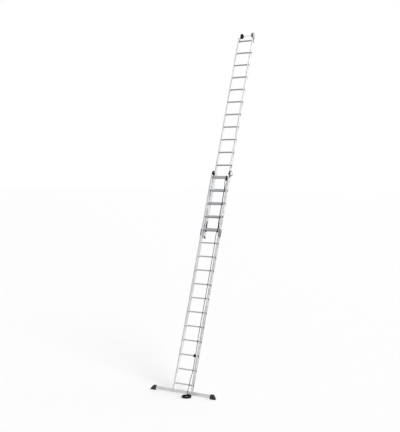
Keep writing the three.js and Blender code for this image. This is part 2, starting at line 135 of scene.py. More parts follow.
def add_floor():
    """A seamless floor that looks matt white. The ladder sees a pool of light around its foot."""
    bpy.ops.mesh.primitive_plane_add(size=240)
    floor = bpy.context.object
    floor.name = "floor"
    material = bpy.data.materials.new("studio_floor")
    material.use_nodes = True
    nodes = material.node_tree.nodes
    links = material.node_tree.links
    shader = nodes["Principled BSDF"]
    shader.inputs["Base Color"].default_value = (0.6, 0.6, 0.6, 1)
    shader.inputs["Roughness"].default_value = 0.9
    shader.inputs["Specular IOR Level"].default_value = 0.1
    shader.inputs["Emission Color"].default_value = (1, 1, 1, 1)
    shader.inputs["Emission Strength"].default_value = 0.26
    place = nodes.new("ShaderNodeTexCoord")
    reach = nodes.new("ShaderNodeVectorMath")
    reach.operation = "LENGTH"
    links.new(place.outputs["Object"], reach.inputs[0])
    level = nodes.new("ShaderNodeMapRange")
    level.inputs["From Min"].default_value = 0.5
    level.inputs["From Max"].default_value = 7.0
    level.inputs["To Min"].default_value = 1.3
    level.inputs["To Max"].default_value = 0.6
    links.new(reach.outputs["Value"], level.inputs["Value"])
    pool = nodes.new("ShaderNodeEmission")
    links.new(level.outputs["Result"], pool.inputs["Strength"])
    seen = nodes.new("ShaderNodeLightPath")
    mix = nodes.new("ShaderNodeMixShader")
    links.new(seen.outputs["Is Camera Ray"], mix.inputs["Fac"])
    links.new(pool.outputs["Emission"], mix.inputs[1])
    links.new(shader.outputs["BSDF"], mix.inputs[2])
    links.new(mix.outputs["Shader"], nodes["Material Output"].inputs["Surface"])
    floor.data.materials.append(material)


def add_light():
    """White backdrop, a room brightest behind the ladder and to its right, and a soft sun."""
    world = bpy.data.worlds.new("studio")
    bpy.context.scene.world = world
    world.use_nodes = True
    nodes = world.node_tree.nodes
    links = world.node_tree.links
    nodes.clear()
    direction = nodes.new("ShaderNodeTexCoord")
    towards = nodes.new("ShaderNodeVectorMath")
    towards.operation = "DOT_PRODUCT"
    towards.inputs[1].default_value = (0.35, 0.85, 0.30)
    links.new(direction.outputs["Generated"], towards.inputs[0])
    level = nodes.new("ShaderNodeMapRange")
    level.interpolation_type = "SMOOTHSTEP"
    level.inputs["From Min"].default_value = 0.1
    level.inputs["From Max"].default_value = 0.9
    level.inputs["To Min"].default_value = 0.62
    level.inputs["To Max"].default_value = 1.75
    links.new(towards.outputs["Value"], level.inputs["Value"])
    room = nodes.new("ShaderNodeBackground")
    links.new(level.outputs["Result"], room.inputs["Strength"])
    backdrop = nodes.new("ShaderNodeBackground")
    backdrop.inputs["Color"].default_value = (1, 1, 1, 1)
    seen = nodes.new("ShaderNodeLightPath")
    mix = nodes.new("ShaderNodeMixShader")
    output = nodes.new("ShaderNodeOutputWorld")
    links.new(seen.outputs["Is Camera Ray"], mix.inputs["Fac"])
    links.new(room.outputs["Background"], mix.inputs[1])
    links.new(backdrop.outputs["Background"], mix.inputs[2])
    links.new(mix.outputs["Shader"], output.inputs["Surface"])
    data = bpy.data.lights.new("sun", "SUN")
    data.energy = 2.0
    data.angle = math.radians(25)
    sun = bpy.data.objects.new("sun", data)
    sun.rotation_euler = Vector((-0.75, 0.30, -0.7)).to_track_quat("-Z", "Y").to_euler()
    bpy.context.scene.collection.objects.link(sun)
    bpy.context.scene.view_settings.view_transform = "Standard"


# ---------------------------------------------------------------- materials

def shader_of(material):
    return material.node_tree.nodes["Principled BSDF"]


def noise(material, scale, stretch=(1, 1, 1), detail=4.0, roughness=0.55):
    """Noise in the piece's own frame, drawn out along an axis by a small stretch value."""
    nodes = material.node_tree.nodes
    links = material.node_tree.links
    place = nodes.new("ShaderNodeTexCoord")
    mapping = nodes.new("ShaderNodeMapping")
    mapping.inputs["Scale"].default_value = [scale * s for s in stretch]
    pattern = nodes.new("ShaderNodeTexNoise")
    pattern.inputs["Scale"].default_value = 1.0
    pattern.inputs["Detail"].default_value = detail
    pattern.inputs["Roughness"].default_value = roughness
    links.new(place.outputs["Object"], mapping.inputs["Vector"])
    links.new(mapping.outputs["Vector"], pattern.inputs["Vector"])
    return pattern.outputs["Fac"]


def ramp(material, value, low, high, dark, light):
    """Maps a pattern value between two colours."""
    node = material.node_tree.nodes.new("ShaderNodeValToRGB")
    node.color_ramp.elements[0].position = low
    node.color_ramp.elements[0].color = (*dark, 1)
    node.color_ramp.elements[1].position = high
    node.color_ramp.elements[1].color = (*light, 1)
    material.node_tree.links.new(value, node.inputs["Fac"])
    return node.outputs["Color"]


def spread(material, value, low, high):
    """Maps a pattern value to a number between low and high."""
    node = material.node_tree.nodes.new("ShaderNodeMapRange")
    node.inputs["From Min"].default_value = 0.3
    node.inputs["From Max"].default_value = 0.7
    node.inputs["To Min"].default_value = low
    node.inputs["To Max"].default_value = high
    material.node_tree.links.new(value, node.inputs["Value"])
    return node.outputs["Result"]


def multiplied(material, first, second):
    """The product of two colours, which a colour mix takes in its sockets 6 and 7."""
    node = material.node_tree.nodes.new("ShaderNodeMix")
    node.data_type = "RGBA"
    node.blend_type = "MULTIPLY"
    node.inputs[0].default_value = 1.0
    links = material.node_tree.links
    links.new(first, node.inputs[6])
    links.new(second, node.inputs[7])
    return node.outputs[2]


def bump(material, value, strength, distance, after=None):
    node = material.node_tree.nodes.new("ShaderNodeBump")
    node.inputs["Strength"].default_value = strength
    node.inputs["Distance"].default_value = distance
    links = material.node_tree.links
    links.new(value, node.inputs["Height"])
    if after is not None:
        links.new(after, node.inputs["Normal"])
    return node.outputs["Normal"]


def new_material(slot, metallic):
    """A material named after the record's slot that it stands for."""
    material = bpy.data.materials.new(f"{slot}_look")
    material["slot"] = slot
    material.use_nodes = True
    shader_of(material).inputs["Metallic"].default_value = metallic
    return material


def connect(material, colour, roughness, normal):
    inputs = shader_of(material).inputs
    links = material.node_tree.links
    links.new(colour, inputs["Base Color"])
    links.new(roughness, inputs["Roughness"])
    links.new(normal, inputs["Normal"])
    return material


def extruded_aluminium(stretch, dark, light):
    """Mill-finish extrusion: die lines along one axis, cloudy oxide and small scuffs."""
    material = new_material("aluminium", 0.9)
    lines = noise(material, 900, stretch, detail=3)
    clouds = noise(material, 7, detail=5)
    scuffs = noise(material, 160, (1, 1, 0.5), detail=6, roughness=0.7)
    metal = ramp(material, lines, 0.3, 0.7, dark, light)
    oxide = ramp(material, clouds, 0.38, 0.72, (0.9, 0.9, 0.91), (1, 1, 1))
    worn = ramp(material, scuffs, 0.66, 0.74, (1, 1, 1), (0.84, 0.84, 0.85))
    colour = multiplied(material, metal, oxide)
    colour = multiplied(material, colour, worn)
    fine = bump(material, lines, 0.12, 0.0004)
    normal = bump(material, scuffs, 0.05, 0.0003, fine)
    return connect(material, colour, spread(material, clouds, 0.34, 0.46), normal)


def cast_aluminium():
    """Sand-cast grey: coarse grain and darker pits."""
    material = new_material("cast_grey", 0.7)
    grain = noise(material, 420, detail=5)
    pits = noise(material, 90, detail=3)
    metal = ramp(material, grain, 0.3, 0.7, (0.24, 0.243, 0.247), (0.35, 0.354, 0.358))
    dark = ramp(material, pits, 0.35, 0.5, (0.72, 0.72, 0.72), (1, 1, 1))
    colour = multiplied(material, metal, dark)
    normal = bump(material, grain, 0.5, 0.0008)
    return connect(material, colour, spread(material, pits, 0.62, 0.5), normal)


def zinc_steel():
    """Bright zinc plate with faint spangle and a slightly uneven shine."""
    material = new_material("bright_steel", 1.0)
    spangle = noise(material, 140, detail=2)
    grain = noise(material, 1100, detail=3)
    colour = ramp(material, spangle, 0.35, 0.65, (0.60, 0.61, 0.63), (0.74, 0.745, 0.75))
    shine = spread(material, spangle, 0.24, 0.38)
    return connect(material, colour, shine, bump(material, grain, 0.08, 0.0003))


def powder_coat():
    """Black powder coat on steel: orange peel, worn to a greyer tone in places."""
    material = new_material("black_steel", 0.15)
    peel = noise(material, 700, detail=2)
    wear = noise(material, 60, detail=6, roughness=0.7)
    colour = ramp(material, wear, 0.55, 0.8, (0.016, 0.016, 0.018), (0.06, 0.06, 0.063))
    return connect(material, colour, spread(material, wear, 0.36, 0.5), bump(material, peel, 0.3, 0.0004))


def moulded_plastic(slot, dark, light):
    """Moulded nylon: fine spark-eroded grain and pale handling marks."""
    material = new_material(slot, 0.0)
    grain = noise(material, 1400, detail=2)
    marks = noise(material, 45, detail=6, roughness=0.75)
    colour = ramp(material, marks, 0.5, 0.85, dark, light)
    return connect(material, colour, spread(material, marks, 0.42, 0.58), bump(material, grain, 0.35, 0.0003))


def moulded_rubber(slot, shade, dust):
    """Matt black rubber with paler worn patches, which dust above zero greys further."""
    material = new_material(slot, 0.0)
    grain = noise(material, 900, detail=3)
    blotch = noise(material, 38, detail=6, roughness=0.7)
    worn = 1.8 * shade + dust
    colour = ramp(material, blotch, 0.35, 0.75, (shade, shade, shade * 1.06), (worn, worn, worn))
    shader_of(material).inputs["Specular IOR Level"].default_value = 0.25
    return connect(material, colour, spread(material, blotch, 0.7, 0.85), bump(material, grain, 0.4, 0.0006))


def rope_fibre():
    """Black polypropylene strands: fine fibres, uneven dye and a faint sheen."""
    material = new_material("rope", 0.0)
    fibres = noise(material, 1500, (1, 1, 0.35), detail=3)
    dye = noise(material, 55, detail=4)
    dark = ramp(material, fibres, 0.35, 0.7, (0.003, 0.003, 0.0035), (0.014, 0.0143, 0.016))
    tone = ramp(material, dye, 0.3, 0.7, (0.75, 0.75, 0.78), (1, 1, 1))
    colour = multiplied(material, dark, tone)
    shader_of(material).inputs["Specular IOR Level"].default_value = 0.15
    return connect(material, colour, spread(material, fibres, 0.7, 0.85), bump(material, fibres, 0.6, 0.0007))


# ---------------------------------------------------------------- mesh building

AXES = {
    "x": Matrix(((0, 0, 1, 0), (1, 0, 0, 0), (0, 1, 0, 0), (0, 0, 0, 1))),
    "y": Matrix(((1, 0, 0, 0), (0, 0, 1, 0), (0, 1, 0, 0), (0, 0, 0, 1))),
    "z": Matrix.Identity(4),
}


def rounded(points, radius, steps=3):
    """An outline with each corner rounded; short sides limit the rounding."""
    outline = []
    corners = [Vector(p) for p in points]
    for index, corner in enumerate(corners):
        before = corners[index - 1] - corner
        after = corners[(index + 1) % len(corners)] - corner
        start = corner + before.normalized() * min(radius, before.length * 0.45)
        end = corner + after.normalized() * min(radius, after.length * 0.45)
        for step in range(steps + 1):
            t = step / steps
            outline.append(start * (1 - t) ** 2 + corner * 2 * t * (1 - t) + end * t ** 2)
    return [(p.x, p.y) for p in outline]


def arc(centre, radius, start_deg, end_deg, steps):
    """Points on an arc, both ends included."""
    points = []
    for step in range(steps + 1):
        angle = math.radians(start_deg + (end_deg - start_deg) * step / steps)
        points.append((centre[0] + radius * math.cos(angle), centre[1] + radius * math.sin(angle)))
    return points


def circle(centre, radius, sides):
    return arc(centre, radius, 0, 360, sides)[:-1]


def rectangle(left, low, right, high):
    return [(left, low), (right, low), (right, high), (left, high)]


def prism(bm, outline, low, high, axis, edge=0.0, steps=2):
    """A closed prism of the outline between low and high, with its rims rounded by edge."""
    place = AXES[axis]
    rims = []
    for level in (low, high):
        rims.append([bm.verts.new(place @ Vector((a, b, level))) for a, b in outline])
    caps = [bm.faces.new(rims[0][::-1]), bm.faces.new(rims[1])]
    sides = []
    for index in range(len(outline)):
        after = (index + 1) % len(outline)
        sides.append(bm.faces.new((rims[0][index], rims[0][after], rims[1][after], rims[1][index])))
    bmesh.ops.recalc_face_normals(bm, faces=caps + sides)
    if edge > 0:
        rim_edges = [e for cap in caps for e in cap.edges]
        bmesh.ops.bevel(bm, geom=rim_edges, offset=edge, segments=steps, profile=0.5,
                        affect="EDGES", clamp_overlap=True)


def turned(bm, profile, centre, axis, sides):
    """A ring turned about an axis through centre, from a closed profile of (radius, along)."""
    place = Matrix.Translation(centre) @ AXES[axis]
    rings = []
    for side in range(sides):
        angle = 2 * math.pi * side / sides
        rings.append([
            bm.verts.new(place @ Vector((r * math.cos(angle), r * math.sin(angle), t))) for r, t in profile
        ])
    faces = []
    for side in range(sides):
        ring, other = rings[side], rings[(side + 1) % sides]
        for index in range(len(profile)):
            after = (index + 1) % len(profile)
            faces.append(bm.faces.new((ring[index], other[index], other[after], ring[after])))
    bmesh.ops.recalc_face_normals(bm, faces=faces)


def hexagon_head(bm, centre, axis, across, height, direction=1):
    """A bolt head with its washer, standing off centre along the axis."""
    flat = AXES[axis].inverted() @ Vector(centre)
    low = flat.z
    washer = circle((flat.x, flat.y), across * 0.68, 20)
    head = circle((flat.x, flat.y), across * 0.577, 6)
    rim = low + direction * height * 0.25
    top = low + direction * height
    prism(bm, washer, min(low, rim), max(low, rim), axis, height * 0.06, 1)
    prism(bm, head, min(rim, top), max(rim, top), axis, height * 0.12, 2)


def round_head(bm, centre, axis, radius, height, direction=1):
    """A domed rivet or screw head."""
    profile = [(0.0002, 0), (radius, 0), (radius * 0.96, height * 0.4), (radius * 0.7, height * 0.85),
               (radius * 0.3, height), (0.0002, height)]
    turned(bm, [(r, t * direction) for r, t in profile], centre, axis, 16)


def handed(bm, sign):
    """Leaves a right-hand piece as it is, and flips it for the left, where sign is -1."""
    if sign < 0:
        bmesh.ops.scale(bm, vec=(-1, 1, 1), verts=bm.verts)
        bmesh.ops.reverse_faces(bm, faces=bm.faces)


def piece(name, bm, material, body, replaces=(), place=LEAN):
    """Turns a bmesh into a finished piece that rides on a body."""
    mesh = bpy.data.meshes.new(name)
    bm.to_mesh(mesh)
    bm.free()
    mesh.polygons.foreach_set("use_smooth", [True] * len(mesh.polygons))
    mesh.set_sharp_from_angle(angle=SHARP_ANGLE)
    mesh.materials.append(material)
    obj = bpy.data.objects.new(name, mesh)
    obj.matrix_world = place
    bpy.context.scene.collection.objects.link(obj)
    if body:
        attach(obj, body)
    if replaces:
        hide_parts(*replaces)
    return obj


# ---------------------------------------------------------------- rope

def smooth_route(points, step):
    """Points every step or so along a centripetal Catmull-Rom curve through the route."""
    route = [Vector(p) for p in points]
    padded = [route[0] * 2 - route[1]] + route + [route[-1] * 2 - route[-2]]
    result = []
    for index in range(len(route) - 1):
        p0, p1, p2, p3 = padded[index:index + 4]
        t1 = max((p1 - p0).length, 1e-6) ** 0.5
        t2 = t1 + (p2 - p1).length ** 0.5
        t3 = t2 + max((p3 - p2).length, 1e-6) ** 0.5
        count = max(1, round((p2 - p1).length / step))
        for number in range(count):
            t = t1 + (t2 - t1) * number / count
            a1 = p0 * ((t1 - t) / t1) + p1 * (t / t1)
            a2 = p1 * ((t2 - t) / (t2 - t1)) + p2 * ((t - t1) / (t2 - t1))
            a3 = p2 * ((t3 - t) / (t3 - t2)) + p3 * ((t - t2) / (t3 - t2))
            b1 = a1 * ((t2 - t) / t2) + a2 * (t / t2)
            b2 = a2 * ((t3 - t) / (t3 - t1)) + a3 * ((t - t1) / (t3 - t1))
            result.append(b1 * ((t2 - t) / (t2 - t1)) + b2 * ((t - t1) / (t2 - t1)))
    result.append(route[-1])
    return result


def laid_rope(bm, points, radius=STRAND_REACH, sides=12, lay=0.036):
    """A three-strand rope along close points: the lobes turn once for each lay."""
    rings = []
    side = None
    run = 0.0
    for index, point in enumerate(points):
        ahead = points[min(index + 1, len(points) - 1)] - points[max(index - 1, 0)]
        along = ahead.normalized()
        if side is None:
            side = along.orthogonal().normalized()
        side = (side - along * side.dot(along)).normalized()
        up = along.cross(side)
        if index:
            run += (point - points[index - 1]).length
        twist = 2 * math.pi * run / lay
        scale = CUT_END if index in (0, len(points) - 1) else 1.0
        ring = []
        for corner in range(sides):
            angle = 2 * math.pi * corner / sides
            reach = radius * scale * (0.97 + 0.09 * math.cos(3 * (angle - twist)))
            ring.append(bm.verts.new(point + (side * math.cos(angle) + up * math.sin(angle)) * reach))
        rings.append(ring)
    faces = [bm.faces.new(rings[0][::-1]), bm.faces.new(rings[-1])]
    for ring, other in zip(rings, rings[1:]):
        for corner in range(sides):
            after = (corner + 1) % sides
            faces.append(bm.faces.new((ring[corner], ring[after], other[after], other[corner])))
    bmesh.ops.recalc_face_normals(bm, faces=faces)


# The route points of the CAD, in metres in the ladder frame.
HOIST_ROUTE = [
    (0.118, 0.048, 3.2165), (0.118, 0.045, 3.228), (0.118, 0.0415, 3.248), (0.118, 0.036, 3.300),
    (0.118, 0.029, 3.380), (0.118, 0.027, 3.430), (0.118, 0.027, 3.700), (0.118, 0.027, 4.000),
    (0.118, 0.027, 4.075), (0.118, 0.023, 4.110), (0.118, 0.012, 4.165), (0.118, 0.003, 4.215),
    (0.118, 0, 4.243), (0.118, 0, 4.266), (0.1192, 0, 4.2734), (0.1226, 0, 4.2801),
    (0.1279, 0, 4.2854), (0.1346, 0, 4.2888), (0.142, 0, 4.290), (0.1494, 0, 4.2888),
    (0.1561, 0, 4.2854), (0.1614, 0, 4.2801), (0.1648, 0, 4.2734), (0.166, 0, 4.266),
    (0.166, 0, 4.256),
]
PULL_ROUTE = [
    (0.166, 0, 4.2555), (0.166, 0, 4.243), (0.166, -0.003, 4.215), (0.165, -0.011, 4.165),
    (0.163, -0.019, 4.110), (0.160, -0.022, 4.065), (0.154, -0.022, 4.010), (0.153, -0.022, 3.743),
    (0.155, -0.022, 3.450), (0.163, -0.022, 3.290), (0.140, -0.022, 3.090), (0.145, -0.022, 2.920),
    (0.148, -0.022, 2.400), (0.147, -0.022, 1.800), (0.144, -0.022, 1.300), (0.145, -0.022, 0.960),
    (0.154, -0.022, 0.760), (0.155, -0.022, 0.685), (0.155, -0.022, 0.600), (0.154, -0.022, 0.400),
    (0.1305, -0.022, 0.205), (0.131, -0.026, 0.075), (0.132, -0.042, 0.028), (0.133, -0.049, -0.008),
    (0.134, -0.052, -0.025),
]
# The landing on the coil, in the floor frame.
LANDING = [
    (0.1365, -0.0615, 0.046), (0.143, -0.066, 0.0395), (0.152, -0.071, 0.0368), (0.163, -0.0745, 0.0365),
]


def coil_turns():
    """Three layers of turns, clockwise from the landing: in, out and in again."""
    start = math.atan2(LANDING[-1][1] - COIL_CENTRE.y, LANDING[-1][0] - COIL_CENTRE.x)
    knots = [  # turns run so far, radius, height of the rope's centre
        (0.00, 0.0788, 0.0365), (0.30, 0.0900, 0.0270), (3.30, 0.0575, 0.0270),
        (3.55, 0.0575, 0.0168), (6.55, 0.0900, 0.0168), (6.80, 0.0900, 0.0066), (9.80, 0.0575, 0.0066),
    ]
    points = []
    steps_per_turn = 40
    total = int(knots[-1][0] * steps_per_turn)
    for step in range(1, total + 1):
        turns = step / steps_per_turn
        for low, high in zip(knots, knots[1:]):
            if low[0] <= turns <= high[0]:
                t = (turns - low[0]) / (high[0] - low[0])
                ease = t * t * (3 - 2 * t) if high[0] - low[0] < 1 else t
                radius = low[1] + (high[1] - low[1]) * ease
                height = low[2] + (high[2] - low[2]) * ease
        angle = start - 2 * math.pi * turns
        points.append(COIL_CENTRE + Vector((radius * math.cos(angle), radius * math.sin(angle), height)))
    return points


def add_ropes(fibre):
    hoist = smooth_route([LEAN @ Vector(p) for p in HOIST_ROUTE], 0.006)
    bm = bmesh.new()
    laid_rope(bm, hoist)
    strand = piece("hoist_strand", bm, fibre, None, ["hoist_rope"], place=LEVEL)
    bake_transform(strand)
    add_knot(fibre)

    down = [LEAN @ Vector(p) for p in PULL_ROUTE] + [Vector(p) for p in LANDING]
    pull = smooth_route(down, 0.008)
    turns = coil_turns()
    tail = turns[-1]
    inward = (COIL_CENTRE - tail).to_2d().normalized()
    heading = (turns[-1] - turns[-2]).normalized()
    loose = [tail + heading * 0.012 + Vector((inward.x, inward.y, 0)) * 0.002]
    loose.append(loose[0] + heading * 0.013 + Vector((inward.x, inward.y, 0)) * 0.006)
    route = pull + turns + loose
    bm = bmesh.new()
    laid_rope(bm, route)
    cord = piece("pull_cord", bm, fibre, "base", ["pull_rope", "rope_coil"], place=LEVEL)
    stop = add_stopper(route[-1], heading, fibre)
    hitch = add_hitch(fibre)


def add_stopper(end, heading, fibre):
    """An overhand knot that keeps the rope's end from fraying."""
    points = []
    side = heading.cross(Vector((0, 0, 1))).normalized()
    centre = end + heading * 0.006 + Vector((0, 0, 0.0046))
    for step in range(49):
        angle = 2 * math.pi * step / 48
        radius = 0.0066 + 0.0018 * math.cos(3 * angle)
        points.append(centre + heading * radius * math.cos(2 * angle)
                      + Vector((0, 0, 1)) * radius * 0.72 * math.sin(2 * angle)
                      + side * 0.0062 * math.sin(3 * angle))
    bm = bmesh.new()
    laid_rope(bm, points, radius=0.0042, sides=10, lay=0.03)
    return piece("rope_stopper", bm, fibre, "base", place=LEVEL)


def add_hitch(fibre):
    """The rope made fast on base rung 3: a hank in front and a turn round rung and hank."""
    height = FIRST_RUNG + 2 * PITCH
    bm = bmesh.new()
    hank = []
    for step in range(3 * 24 + 1):
        angle = 2 * math.pi * step / 24
        hank.append(Vector((0.131 + 0.0105 * math.cos(angle), -0.0215 - 0.0046 * angle / (2 * math.pi),
                            height + 0.027 * math.sin(angle))))
    laid_rope(bm, hank)
    turn = []
    for step in range(2 * 28 + 1):
        angle = 2 * math.pi * step / 28
        turn.append(Vector((0.1255 + 0.0052 * angle / math.pi, -0.0095 + 0.0295 * math.cos(angle),
                            height + 0.0205 * math.sin(angle))))
    laid_rope(bm, turn)
    return piece("rung_hitch", bm, fibre, "base", ["rope_hitch"])


def add_knot(fibre):
    """Two turns round the fly's bottom rung with a crossing turn over them."""
    bm = bmesh.new()
    reach = RUNG_RADIUS + ROPE_RADIUS
    turn = []
    for step in range(2 * 32 + 9):
        angle = 2 * math.pi * step / 32 - 0.4
        turn.append(Vector((0.1125 + 0.0105 * angle / (2 * math.pi), FLY_OFFSET + reach * math.cos(angle),
                            FLY_FIRST + reach * math.sin(angle))))
    laid_rope(bm, turn)
    tuck = []
    for step in range(25):
        t = step / 24
        angle = math.radians(60 + 190 * t)
        bulge = reach + 0.0045 * math.sin(math.pi * t)
        tuck.append(Vector((0.127 - 0.018 * t, FLY_OFFSET + bulge * math.cos(angle),
                            FLY_FIRST + bulge * math.sin(angle))))
    laid_rope(bm, tuck)
    return piece("rung_knot", bm, fibre, "fly", ["hoist_knot"])


# ---------------------------------------------------------------- stiles and rungs

def stile_outline(half, depth, centre):
    """Lipped channel with rounded corners and three grip grooves on each flange."""
    web = half - FLANGE
    front = centre - depth / 2
    back = centre + depth / 2
    groove = []
    for middle in (0.0085, 0.0135, 0.0185):
        groove += [(middle - 0.0009, 0), (middle - 0.0004, 0.0006), (middle + 0.0004, 0.0006),
                   (middle + 0.0009, 0)]
    front_face = [(web + a, front + b) for a, b in groove]
    back_face = [(web + a, back - b) for a, b in reversed(groove)]
    corners = [(web, front)] + front_face + [
        (half, front), (half, front + LIP), (half - WALL, front + LIP), (half - WALL, front + WALL),
        (web + WALL, front + WALL), (web + WALL, back - WALL), (half - WALL, back - WALL),
        (half - WALL, back - LIP), (half, back - LIP), (half, back),
    ] + back_face + [(web, back)]
    return rounded(corners, 0.0009, 2)


def with_holes(obj, first, centre, web):
    """Cuts the rung holes through the web."""
    bm = bmesh.new()
    for k in range(RUNGS):
        hole = circle((centre, first + k * PITCH), RUNG_RADIUS + 0.0002, 32)
        prism(bm, hole, web - 0.004, web + WALL + 0.004, "x")
    mesh = bpy.data.meshes.new("rung_holes")
    bm.to_mesh(mesh)
    bm.free()
    cutter = bpy.data.objects.new("rung_holes", mesh)
    bpy.context.scene.collection.objects.link(cutter)
    cutter.matrix_world = obj.matrix_world
    boolean = obj.modifiers.new("holes", "BOOLEAN")
    boolean.operation = "DIFFERENCE"
    boolean.solver = "EXACT"
    boolean.object = cutter
    bpy.context.view_layer.update()
    evaluated = obj.evaluated_get(bpy.context.evaluated_depsgraph_get())
    cut = bpy.data.meshes.new_from_object(evaluated)
    obj.modifiers.clear()
    obj.data = cut
    cut.set_sharp_from_angle(angle=SHARP_ANGLE)
    bpy.data.objects.remove(cutter)


def add_stiles(name, body, half, depth, centre, low, high, first, metal):
    for side, sign in SIDES:
        bm = bmesh.new()
        prism(bm, stile_outline(half, depth, centre), low, high, "z", 0.0004, 1)
        handed(bm, sign)
        rail = piece(f"{name}_rail_{side}", bm, metal, body, [f"{name}_stile_{side}"])
        web = (half - FLANGE) * sign
        with_holes(rail, first, centre, min(web, web + sign * WALL))


def fluted(bm, centre, half):
    """A hollow rung with grip ribs round it."""
    sides = 96
    middle = Vector(centre)
    rows = []
    for radius, x, ribs in ((1, -half, 1), (1, half, 1), (0.88, half, 0), (0.88, -half, 0)):
        row = []
        for side in range(sides):
            angle = 2 * math.pi * side / sides
            depth = FLUTE_DEPTH * (0.5 - 0.5 * math.cos(FLUTES * angle)) * ribs
            reach = RUNG_RADIUS * radius - depth
            spot = Vector((x, reach * math.cos(angle), reach * math.sin(angle)))
            row.append(bm.verts.new(middle + spot))
        rows.append(row)
    faces = []
    for row, other in zip(rows, rows[1:] + rows[:1]):
        for side in range(sides):
            after = (side + 1) % sides
            faces.append(bm.faces.new((row[side], row[after], other[after], other[side])))
    bmesh.ops.recalc_face_normals(bm, faces=faces)


def collar(bm, centre, x, outward):
    """The swaged bead that locks a rung against one face of the web."""
    bead = [(0.0150, 0), (0.0192, 0), (0.0198, 0.0008), (0.0194, 0.0018), (0.0178, 0.0027), (0.0150, 0.0030)]
    turned(bm, [(r, t * outward) for r, t in bead], (x, centre[1], centre[2]), "x", 36)


def add_rungs(name, body, half, centre_y, first, metal):
    web = half - FLANGE
    for k in range(RUNGS):
        bm = bmesh.new()
        centre = (0, centre_y, first + k * PITCH)
        fluted(bm, centre, half - RUNG_INSET)
        for sign in (1, -1):
            collar(bm, centre, sign * (web - 0.0001), -sign)
            collar(bm, centre, sign * (web + WALL + 0.0001), sign)
        piece(f"{name}_tread_{k + 1:02d}", bm, metal, body, [f"{name}_rung_{k + 1:02d}"])


def add_rung_end_shade_caps(name, body, half, centre_y, first, plastic):
    """Black caps pressed into the open rung ends: painted shade for the dark hollow inside each tube. All of
    a section's are in one piece.
    """
    bm = bmesh.new()
    end = half - RUNG_INSET
    cap = [(0.0002, end - 0.001), (0.0131, end - 0.001), (0.0131, end + 0.0003),
           (0.0153, end + 0.0003), (0.0156, end + 0.0014), (0.0148, end + 0.0028),
           (0.0095, end + 0.0034), (0.0080, end + 0.0022), (0.0002, end + 0.0022)]
    for k in range(RUNGS):
        for sign in (1, -1):
            turned(bm, [(r, t * sign) for r, t in cap], (0, centre_y, first + k * PITCH), "x", 28)
    piece(f"{name}_rung_end_shade_caps", bm, plastic, body)


def add_fly_ends(plastic):
    """Black plugs in the open ends of the fly stiles, with a hooked toe at the lower end."""
    for side, sign in SIDES:
        bm = bmesh.new()
        plug = rounded(rectangle(0.1552, FLY_FRONT + 0.0005, 0.1797, FLY_BACK - 0.0005), 0.003)
        prism(bm, plug, FLY_HIGH - 0.001, FLY_HIGH + 0.005, "z", 0.0015)
        prism(bm, plug, FLY_LOW - 0.008, FLY_LOW + 0.001, "z", 0.0015)
        toe = rounded([(0.044, -0.004), (0.050, -0.024), (0.064, -0.039), (0.084, -0.041), (0.102, -0.030),
                       (0.106, -0.012), (0.096, -0.010), (0.090, -0.022), (0.078, -0.027), (0.069, -0.022),
                       (0.066, -0.004)], 0.005)
        prism(bm, [(y, FLY_LOW + z) for y, z in toe], 0.1560, 0.1790, "x", 0.003)
        handed(bm, sign)
        piece(f"fly_rail_ends_{side}", bm, plastic, "fly")


# ---------------------------------------------------------------- foot

def add_crossbar(metal, zinc):
    half = BAR_DEPTH / 2
    middle = (BAR_TOP + BAR_BOTTOM) / 2
    groove = []
    for offset in (-0.018, 0.0, 0.018):
        z = middle + offset
        groove += [(-half, z - 0.0022), (-half + 0.0009, z - 0.0012), (-half + 0.0009, z + 0.0012),
                   (-half, z + 0.0022)]
    front = [(-half, BAR_BOTTOM)] + groove + [(-half, BAR_TOP)]
    outline = rounded(front + [(-y, z) for y, z in reversed(front)], 0.0025, 3)
    bm = bmesh.new()
    prism(bm, outline, -BAR_HALF, BAR_HALF, "x", 0.0008, 1)
    piece("stabiliser_bar", bm, metal, "base", ["crossbar"])
    bolts = bmesh.new()
    for side, sign in SIDES:
        bm = bmesh.new()
        angle = rounded([(WEB_FACE, BAR_TOP + CONTACT_GAP), (0.2088, BAR_TOP + CONTACT_GAP),
                         (0.2088, BAR_TOP + 0.0048), (0.1953, BAR_TOP + 0.0048), (0.1953, 0.092),
                         (WEB_FACE, 0.092)], 0.002)
        prism(bm, angle, -half, half, "y", 0.001)
        handed(bm, sign)
        piece(f"bar_bracket_{side}", bm, zinc, "base")
        hexagon_head(bolts, (sign * 0.2020, 0, BAR_TOP + 0.0048), "z", 0.010, 0.006)
        for z in (0.045, 0.072):
            hexagon_head(bolts, (sign * 0.1953, 0, z), "x", 0.013, 0.006, sign)
            round_head(bolts, (sign * 0.1870, 0, z), "x", 0.0065, 0.003, -sign)
        for offset in (0.009, -0.009):
            round_head(bolts, (sign * 0.598, -half, middle + offset), "y", 0.0055, 0.0025, -1)
    piece("bar_fixings", bolts, zinc, "base")


def boot_side(shrink):
    """Side outline of a boot in X and Z: level sole, domed top, sloping toe."""
    start, end, top = BOOT_START + shrink, BOOT_END - shrink, BOOT_TOP - shrink
    dome = []
    for step in range(13):
        t = step / 12
        x = (end - 0.003) * (1 - t) ** 2 + (end - 0.045) * 2 * t * (1 - t) + (BAR_HALF + 0.008) * t ** 2
        z = 0.020 * (1 - t) ** 2 + top * 2 * t * (1 - t) + top * t ** 2
        dome.append((x, z))
    heel = [(start + 0.014, top), (start + 0.006, top - 0.002), (start + 0.0015, top - 0.006),
            (start, top - 0.012)]
    sole = [(start, shrink), (end - 0.006, shrink), (end - 0.001, 0.003 + shrink), (end, 0.008 + shrink)]
    return sole + dome + heel


